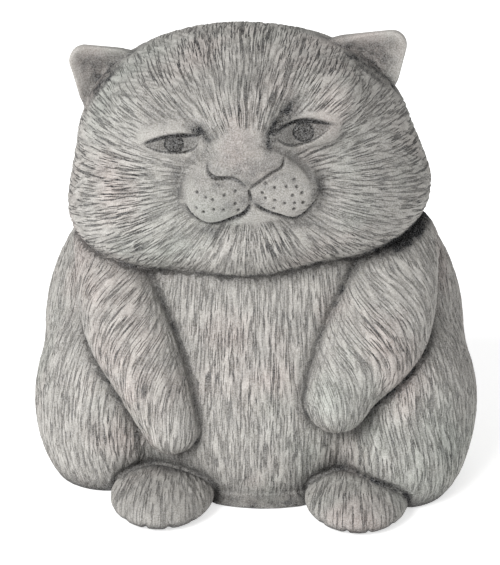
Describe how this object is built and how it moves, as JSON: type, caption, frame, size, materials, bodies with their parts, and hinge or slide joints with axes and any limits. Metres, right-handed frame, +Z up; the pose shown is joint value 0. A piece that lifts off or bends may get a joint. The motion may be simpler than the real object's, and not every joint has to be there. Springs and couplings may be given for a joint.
{
  "type": "garden statue",
  "caption": "Seated fat cat cast in grey stone, broad scowling head, arms hanging over the belly and combed fur tooled all over.",
  "frame": {"origin": "middle of the footprint's bounding box, on the underside plane", "axes": "+Z up from the underside, the cat faces -Y, +X is the side of its left arm (the right of the picture)"},
  "size_m": [0.197, 0.1826, 0.1994],
  "materials": {
    "cast_stone": "matt, sandy cast stone, light grey with a dark wash in the tooled lines"
  },
  "bodies": {
    "root": {"cat_statue": "cast_stone"}
  },
  "joints": []
}
